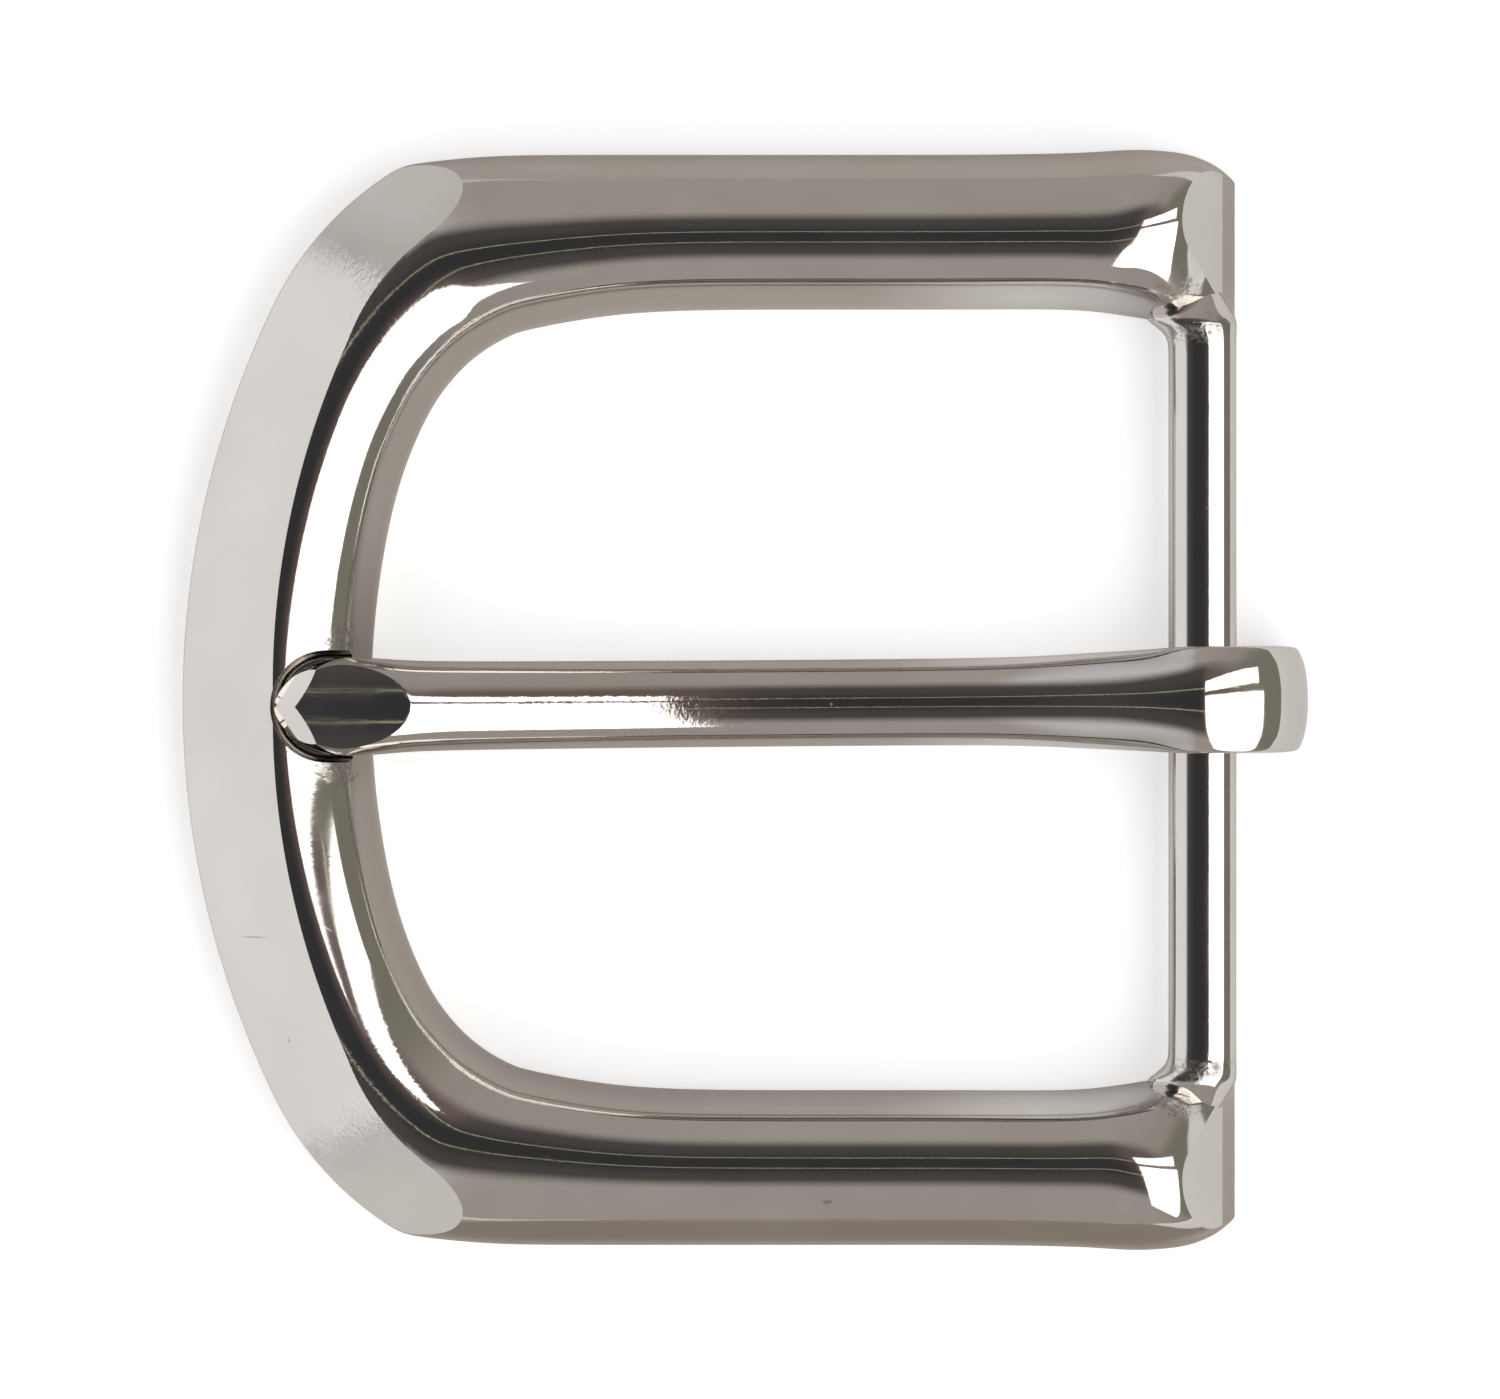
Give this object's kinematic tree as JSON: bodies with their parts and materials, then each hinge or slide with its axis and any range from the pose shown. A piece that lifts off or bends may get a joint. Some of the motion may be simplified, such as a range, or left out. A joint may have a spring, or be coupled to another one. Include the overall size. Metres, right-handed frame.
{
  "type": "belt buckle",
  "caption": "Heel-bar belt buckle: horseshoe frame with a bevelled front, cast in one with its bar, and a hinged tongue.",
  "frame": {"origin": "on the plane of the frame's flat back, at the middle of the overall length and width", "axes": "+X from the bevelled front towards the heel bar, +Y across the strap, +Z out of the front face that shows when worn"},
  "size_m": [0.0526, 0.0508, 0.0061],
  "materials": {
    "frame_nickel": "bright nickel plate, polished, over a die casting",
    "tongue_nickel": "bright nickel plate, polished, with fine handling scratches"
  },
  "bodies": {
    "frame": {"frame": "frame_nickel"},
    "tongue": {"tongue": "tongue_nickel"}
  },
  "joints": [
    {"name": "tongue_hinge", "type": "hinge", "parent": "frame", "child": "tongue", "pos_m": [0.02125, 0, 0.00265], "axis": [0, 1, 0], "range_deg": [0, 178]}
  ]
}
